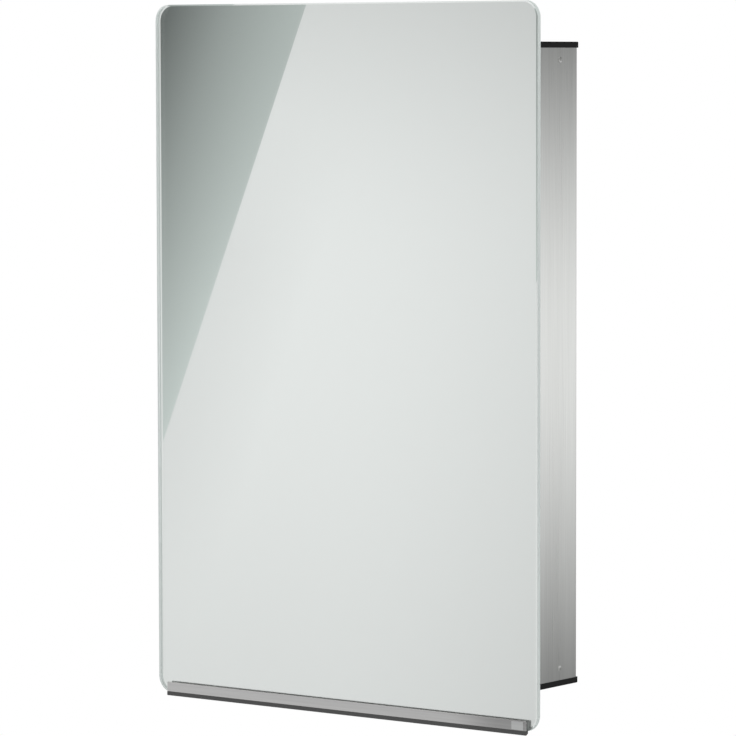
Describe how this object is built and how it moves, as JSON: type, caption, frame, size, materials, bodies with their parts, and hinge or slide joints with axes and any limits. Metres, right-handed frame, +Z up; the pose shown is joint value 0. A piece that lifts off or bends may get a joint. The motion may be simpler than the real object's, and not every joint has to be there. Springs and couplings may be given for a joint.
{
  "type": "mirror medicine cabinet",
  "caption": "Wall-hung cabinet with a folded steel body, glass shelves and a frameless bevelled mirror door on a continuous side hinge.",
  "frame": {"origin": "centre of the cabinet's back face, which lies on the wall", "axes": "+Y into the wall, +X to the right as seen by someone facing the mirror, +Z up"},
  "size_m": [0.4, 0.1078, 0.5985],
  "materials": {
    "brushed_steel": "fine vertical brushed grain",
    "plain_steel": "satin stainless steel",
    "door_steel": "pale grey powder coat, fine texture",
    "plate_steel": "lighter satin, blank",
    "dark_screw": "dull self-tapping screw",
    "black_plastic": "black, fine moulded texture",
    "black_rubber": "matt black extrusion",
    "clear_rubber": "translucent silicone",
    "shelf_glass": "clear float glass, ground edges",
    "mirror": "silvering with grey safety film behind",
    "mirror_glass": "clear float glass, narrow polished bevel and ground edge",
    "magnet": "nickel plated",
    "core_board": "pale foam board",
    "foam_tape": "white foam tape"
  },
  "bodies": {
    "cabinet": {"cabinet_wrap": "brushed_steel", "top_end_cap": "black_plastic", "bottom_end_cap": "black_plastic", "end_cap_screws": "dark_screw", "upper_wall_bar": "plain_steel", "lower_wall_bar": "plain_steel", "upper_shelf": "shelf_glass", "lower_shelf": "shelf_glass", "shelf_brackets": "plain_steel", "shelf_pads": "clear_rubber", "hinge_body_leaf": "plain_steel", "hinge_pin": "plain_steel", "hinge_body_rivets": "plain_steel", "catch_cups": "black_plastic", "catch_magnets": "magnet", "door_bumpers": "clear_rubber", "opening_buffers": "clear_rubber"},
    "door": {"door_pan": "door_steel", "door_core": "core_board", "bonding_tape": "foam_tape", "mirror_film": "mirror", "mirror_glass": "mirror_glass", "handle_rail": "brushed_steel", "handle_grip": "black_rubber", "blank_plate": "plate_steel", "hinge_door_leaf": "plain_steel", "hinge_door_rivets": "plain_steel", "strike_discs": "plain_steel"}
  },
  "joints": [
    {"name": "door_hinge", "type": "hinge", "parent": "cabinet", "child": "door", "pos_m": [-0.1705, -0.0895, 0], "axis": [0, 0, -1], "range_deg": [0, 110]}
  ]
}
